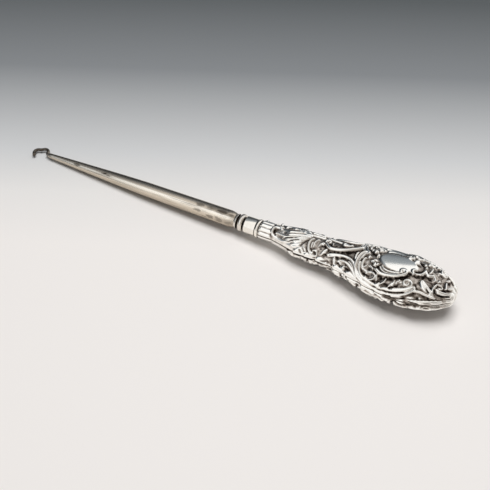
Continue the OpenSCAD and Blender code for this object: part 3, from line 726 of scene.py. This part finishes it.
# Ground that was polished clean: percent along from and to, percent near from and to, how clean
polished = [(11, 27, 60, 110, 0.75), (24, 101, 90, 110, 0.8), (2, 28, -4, 60, 0.3)]
# Wear and tarnish: mm along, percent of the way to a seam, mm of depth and shares
shellWear = {
    "backNeck": (12.5, 15.5), "backKept": 0.3,
    "rubFrom": (44, 51), "rubTo": (54.5, 59), "rubSide": (28, 42), "rubShare": 0.6,
    "reach": 0.7, "shallow": 0.1, "deep": 0.5,
    "seamLine": (94.0, 96.5), "seamEnd": (24, 36),
}


def smoothLine(places, gap=0.12):
    # a curve through the places, with points closer than gap mm on the plain shape
    pts = np.array(places, float)
    if len(pts) == 1:
        return pts
    ends = np.vstack([pts[:1], pts, pts[-1:]])
    out = []
    for p0, p1, p2, p3 in zip(ends, ends[1:], ends[2:], ends[3:]):
        a, b = skinPoint(*workPlace(np.array([p1[0], p2[0]]), np.array([p1[1], p2[1]])))
        for u in np.linspace(0, 1, max(3, int(np.linalg.norm(b - a) / gap)), endpoint=False):
            out.append(p1 + 0.5 * u * (p2 - p0 + u * (2 * p0 - 5 * p1 + 4 * p2 - p3
                                                      + u * (3 * (p1 - p2) + p3 - p0))))
    return np.array(out + [pts[-1]])


def ridgeProfile(s):
    return np.clip(1 - s * s, 0, 1) ** 0.7


def ribbonProfile(s):
    return np.clip(1 - s ** 6, 0, 1) * (0.3 + 0.7 * np.clip(s / 0.6, 0, 1) ** 2)


def leafProfile(s):
    return np.clip(1 - s ** 2.2, 0, 1) ** 0.8 * (1 - 0.4 * np.exp(-(s / 0.22) ** 2))


def gapProfile(s):
    return 1 - ease(s, 0.5, 1.0)


def bowlProfile(s):
    return np.clip(1 - s * s, 0, 1) ** 1.5


def layStroke(field, points, places, width, height, profile, taper=False):
    # raises (or sinks) a field of heights along a line of places
    line = smoothLine(places)
    if profile is not gapProfile:
        width = width * work["wide"]
    core = skinPoint(*workPlace(line[:, 0], line[:, 1]))
    t = np.linspace(0, 1, len(line))
    radius = np.full(len(line), width / 2)
    tall = np.full(len(line), float(height))
    if taper:
        radius = radius * np.where(t < 0.25, 0.8 + 0.8 * t, 1.0 - 0.85 * ((t - 0.25) / 0.75) ** 1.3)
        tall = tall * (1 - 0.4 * t)
    elif len(line) > 4:
        narrow = 1 - 0.35 * (np.abs(2 * t - 1)) ** 6
        radius, tall = radius * narrow, tall * narrow
    low, high = core.min(0) - width / 2, core.max(0) + width / 2
    inside = np.nonzero(((points > low) & (points < high)).all(1))[0]
    for part in np.array_split(inside, max(1, len(inside) * len(line) // 2000000 + 1)):
        gap = np.linalg.norm(points[part][:, None, :] - core[None, :, :], axis=2) / radius
        nearest = gap.argmin(1)
        s = gap[np.arange(len(part)), nearest]
        rise = tall[nearest] * profile(np.minimum(s, 1))
        field[part] = np.where(s < 1, np.maximum(field[part], rise), field[part])


def flipSide(places):
    return [(l, -n) for l, n in places]


def reliefField(x, near, points, extra):
    # the height of the work in mm and how clean its ground is; extra is work on one half only
    raised = np.zeros(len(points))
    sunk = np.zeros(len(points))
    cut = np.zeros(len(points))
    groups = [(neckWork, True), (waistWork, True), (bowlWork, True), (buttWork, True), (crestWork, False)]
    for group, paired in groups + extra:
        for side in ([False, True] if paired else [False]):
            put = flipSide if side else list
            for kind, profile, taper in (("ridges", ridgeProfile, False), ("ribbons", ribbonProfile, False),
                                         ("leaves", leafProfile, True)):
                for width, height, places in group.get(kind, []):
                    layStroke(raised, points, put(places), width, height * work["grow"], profile, taper)
            for width, height, place in group["beads"]:
                layStroke(raised, points, put([place]), width, height * work["grow"], ridgeProfile)
            for width, depth, places in group.get("pits", []):
                layStroke(sunk, points, put(places), width, depth, bowlProfile)
            for width, places in group["gaps"]:
                layStroke(cut, points, put(places), width, 1.0, gapProfile)
            for width, place, slant in group.get("cells", []):
                spot = put([place])[0]
                middle = skinPoint(*workPlace(np.array([float(spot[0])]), np.array([float(spot[1])])))[0]
                away = points - middle
                inside = np.clip(1 - (np.linalg.norm(away, axis=1) / (width / 2)) ** 4, 0, 1)
                slope = math.radians(slant)
                across = away[:, 0] * math.cos(slope) + away[:, 1] * math.sin(slope)
                lines = np.sin(2 * math.pi * across / work["cellLines"])
                sunk += inside * work["cellDeep"] * (1 + lines)
    # reeds round the neck
    for k in range(reeds["count"]):
        middle = handleShape["seamEdge"] * ((2 * k + 1) / reeds["count"] - 1)
        layStroke(raised, points, [(reeds["from"], middle), (reeds["to"], middle)], reeds["width"],
                  reeds["height"], ridgeProfile)
    # leaves along both seams
    for begin, end in seamLeaves["places"]:
        for side in (-1, 1):
            layStroke(raised, points,
                      [(begin, side * seamLeaves["near"]), (end, side * (seamLeaves["near"] + 2))],
                      seamLeaves["width"], seamLeaves["height"], leafProfile, True)
    # the oval stands clear of the ground
    ovalX, ovalNear = workPlace(*oval["middle"])
    away = np.hypot((x - ovalX) / oval["halfLong"], (near - ovalNear) / oval["halfAcross"])
    plain = 1 - ease(away, 1 - oval["edge"], 1.0)
    raised = np.maximum(raised, oval["height"] * plain)
    cut = cut * (1 - plain)
    height = (raised - sunk * (1 - np.clip(raised / 0.25, 0, 1))) * (1 - cut) - work["cutDeep"] * cut
    ends = ease(x, handleShape["neckX"] + 0.2, handleShape["neckX"] + 0.8)
    ends = ends * (1 - ease(x, handleLength - 1.0, handleLength - 0.2))
    clean = plain.copy()
    along = (x - work["from"]) / work["long"] * 100
    for begin, end, low, high, share in polished:
        inside = ease(along, begin - 1, begin + 1) * (1 - ease(along, end - 1, end + 1))
        inside = inside * ease(np.abs(near), low - 3, low + 3) * (1 - ease(np.abs(near), high - 3, high + 3))
        clean = np.maximum(clean, share * inside)
    clean = clean * (1 - cut)
    return height * ends * (1 - ease(np.abs(near), work["fadeAt"], handleShape["seamEdge"])), clean


def soften(grid, passes):
    for _ in range(passes):
        wide = np.pad(grid, 1, mode="edge")
        beside = wide[:-2, 1:-1] + wide[2:, 1:-1] + wide[1:-1, :-2] + wide[1:-1, 2:]
        grid = (beside + 4 * grid) / 8
    return grid


def spread(grid, radius, rowGap, columnGap):
    # evens a field out over about radius mm, with gaps of the grid in mm
    passes = 120
    down = min(0.24, (radius / rowGap) ** 2 / 2 / passes)
    over = np.minimum(0.24, (radius / columnGap) ** 2 / 2 / passes)[:, None]
    for _ in range(passes):
        wide = np.pad(grid, 1, mode="edge")
        grid = (grid + down * (wide[:-2, 1:-1] + wide[2:, 1:-1] - 2 * grid)
                + over * (wide[1:-1, :-2] + wide[1:-1, 2:] - 2 * grid))
    return grid


def shellRows():
    # rows stand at even steps along the outline, which turns in at the butt
    h = handleShape
    dome = np.sin(np.linspace(0, math.pi / 2, 400)[1:])
    x = np.concatenate([np.linspace(h["neckX"], h["bulbAt"], 800),
                        h["bulbAt"] + (handleLength - h["bulbAt"]) * dome])
    r = (halfSize(x, h["waistW"], h["bulbW"]) + halfSize(x, h["waistT"], h["bulbT"])) / 2
    run = np.concatenate([[0], np.cumsum(np.hypot(np.diff(x), np.diff(r)))])
    return np.interp(np.linspace(0, run[-1], h["rows"] + 1), run, x)


def makeShell(name, node, side):
    h, w = handleShape, shellWear
    deselectAll()
    bpy.ops.mesh.primitive_grid_add(x_subdivisions=h["rows"], y_subdivisions=h["columns"], size=2)
    piece = bpy.context.object
    mesh = piece.data
    count = len(mesh.vertices)
    co = np.zeros(count * 3)
    mesh.vertices.foreach_get("co", co)
    co = co.reshape(-1, 3)
    row = np.rint((co[:, 0] + 1) / 2 * h["rows"]).astype(int)
    column = np.rint((co[:, 1] + 1) / 2 * h["columns"]).astype(int)
    x = shellRows()[row]
    near = h["seamEdge"] * (1 - 2 * column / h["columns"])
    points = skinPoint(x, near)
    height, clean = reliefField(x, near, points, [] if side > 0 else [(edgeWork, False)])
    if side < 0:
        # the work of the back is worn flatter along the neck
        height = height * (w["backKept"] + (1 - w["backKept"]) * ease(x, *w["backNeck"]))
    else:
        # the far edge of the front is rubbed lower beside the oval
        rubbed = ease(x, *w["rubFrom"]) * (1 - ease(x, *w["rubTo"])) * ease(-near, *w["rubSide"])
        height = height * (1 - w["rubShare"] * rubbed)
    grid = np.zeros((h["rows"] + 1, h["columns"] + 1))
    grid[row, column] = height
    grid = soften(grid, 1)
    # tarnish stays where the work close by stands higher, and in the pits
    step = math.pi / 2 * (halfSize(shellRows(), h["waistW"], h["bulbW"])
                          + halfSize(shellRows(), h["waistT"], h["bulbT"])) / h["columns"]
    around = spread(np.clip(grid, 0, None) ** 5, w["reach"], h["rowGap"], np.maximum(step, 0.02)) ** 0.2
    tarnish = np.clip((around - grid - w["shallow"]) / w["deep"], 0, 1)[row, column] * (1 - clean)
    # and in a line along the seam of the neck
    beside = ease(np.abs(near), *w["seamLine"]) * (1 - ease(x, *w["seamEnd"]))
    tarnish = np.maximum(tarnish, beside)
    body = points.copy()
    body[:, 2] *= side
    mesh.vertices.foreach_set("co", (body * mm + [zeroX, 0, axisZ]).ravel())
    for label, values in (("raise", grid[row, column]), ("tarnish", tarnish)):
        mesh.attributes.new(label, "FLOAT", "POINT").data.foreach_set("value", values)
    mesh.update()
    bpy.ops.object.mode_set(mode="EDIT")
    bpy.ops.mesh.select_all(action="SELECT")
    bpy.ops.mesh.remove_doubles(threshold=0.001 * mm)
    if side < 0:
        bpy.ops.mesh.flip_normals()
    bpy.ops.object.mode_set(mode="OBJECT")
    outside = len(mesh.vertices)
    normals = np.zeros(outside * 3)
    mesh.vertex_normals.foreach_get("vector", normals)
    wall = piece.modifiers.new("sheet", "SOLIDIFY")
    wall.thickness = h["sheet"] * mm
    wall.offset = -1
    bpy.ops.object.modifier_apply(modifier=wall.name)
    mesh = piece.data
    total = len(mesh.vertices)
    co = np.zeros(total * 3)
    rise = np.zeros(total)
    mesh.vertices.foreach_get("co", co)
    mesh.attributes["raise"].data.foreach_get("value", rise)
    co = co.reshape(-1, 3)
    co[:outside] += normals.reshape(-1, 3) * rise[:outside, None] * mm
    mesh.vertices.foreach_set("co", co.ravel())
    mesh.attributes.remove(mesh.attributes["raise"])
    mesh.update()
    bpy.ops.object.shade_smooth()
    settle(piece, name, [node], reliefSilver)


makeShell("front_half", "front_shell", 1)
makeShell("back_half", "back_shell", -1)

# the solder line and the filling keep their CAD shapes
for node, material in (("seam_solder", makeSolder()), ("cement_core", makeCement())):
    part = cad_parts[node]
    part.data.materials.clear()
    part.data.materials.append(material)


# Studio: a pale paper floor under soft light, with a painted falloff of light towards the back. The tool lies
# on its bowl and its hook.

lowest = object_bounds()[0]
studio = {
    "floorSize": 4.0,
    "bowlX": 72.0, "hookX": -92.5, "hookLow": 5.85,  # mm, the paper under the bowl and under the hook
    "softbox": {"place": (55, 65, 895), "aim": (40, 0, 5), "size": 0.56, "power": 6.9},
    "fill": 0.38,  # what the room adds to matt surfaces
}


def makeFloor():
    deselectAll()
    fall = math.atan2(studio["hookLow"] * mm - lowest.z, (studio["bowlX"] - studio["hookX"]) * mm)
    bpy.ops.mesh.primitive_plane_add(
        size=studio["floorSize"], location=(studio["bowlX"] * mm, 0, lowest.z - 0.1 * mm),
        rotation=(0, fall, 0))
    floor = bpy.context.object
    bpy.ops.object.transform_apply(location=True, rotation=True, scale=True)
    floor.name = "paper_floor"
    material, tree, place = newMaterial("matt_paper_painted_falloff")
    turned = addNode(tree, "ShaderNodeMapping", {"Rotation": (0, 0, -math.radians(cameraView["turn"]))},
                     {"Vector": place})
    away = addNode(tree, "ShaderNodeSeparateXYZ", None, {"Vector": turned})
    # painted falloff of light: the paper goes from near white to dark grey away from the camera
    share = addNode(tree, "ShaderNodeMapRange", {"From Min": -0.1, "From Max": 0.3},
                    {"Value": away.outputs["Y"]})
    colour = addNode(tree, "ShaderNodeValToRGB",
                     {"stops": [(0.0, "#F0ECE9"), (0.22, "#EEEAE7"), (0.295, "#E4E2E0"), (0.36, "#CDCECF"),
                                (0.53, "#85888B"), (0.73, "#5B5F61"), (1.0, "#505457")]}, {"Fac": share})
    finishWith(tree, {"Roughness": 0.85, "Specular IOR Level": 0.2}, {"Base Color": colour})
    floor.data.materials.append(material)


def makeWorld():
    world = bpy.data.worlds.new("studio")
    bpy.context.scene.world = world
    world.use_nodes = True
    tree = world.node_tree
    tree.nodes.clear()
    place = addNode(tree, "ShaderNodeTexCoord")
    toward = addNode(tree, "ShaderNodeVectorMath", {"operation": "DOT_PRODUCT", 1: (0.872, -0.351, 0.34)},
                     {0: place.outputs["Generated"]})
    share = addNode(tree, "ShaderNodeMapRange", {"From Min": -1.0, "From Max": 1.0},
                    {"Value": toward.outputs["Value"]})
    # white in front and overhead, grey behind and where the camera stands
    colour = addNode(tree, "ShaderNodeValToRGB",
                     {"stops": [(0.15, "#2E3032"), (0.3, "#5A5F64"), (0.36, "#878D93"), (0.432, "#9BA1A6"),
                                (0.452, "#FFFFFF"), (0.7, "#FFFFFF"), (0.85, "#C9C5C0"), (1.0, "#A09C98")]},
                     {"Fac": share})
    ray = addNode(tree, "ShaderNodeLightPath")
    seen = addNode(tree, "ShaderNodeMath", {"operation": "MAXIMUM"},
                   {0: ray.outputs["Is Camera Ray"], 1: ray.outputs["Is Glossy Ray"]})
    seen = addNode(tree, "ShaderNodeMath", {"operation": "MAXIMUM"},
                   {0: seen, 1: ray.outputs["Is Transmission Ray"]})
    level = addNode(tree, "ShaderNodeMapRange", {"To Min": studio["fill"], "To Max": 1.0}, {"Value": seen})
    sky = addNode(tree, "ShaderNodeBackground", None, {"Color": colour, "Strength": level})
    addNode(tree, "ShaderNodeOutputWorld", None, {"Surface": sky})


def makeLight():
    s = studio["softbox"]
    bpy.ops.object.light_add(type="AREA", location=[c * mm for c in s["place"]])
    light = bpy.context.object
    light.name = "softbox"
    light.rotation_euler = (Vector(s["place"]) - Vector(s["aim"])).to_track_quat("Z", "Y").to_euler()
    light.data.size = s["size"]
    light.data.energy = s["power"]
    light.visible_glossy = False  # the metal shows the room instead


makeFloor()
makeWorld()
makeLight()
bpy.context.scene.view_settings.view_transform = "Standard"
print("studio ready")
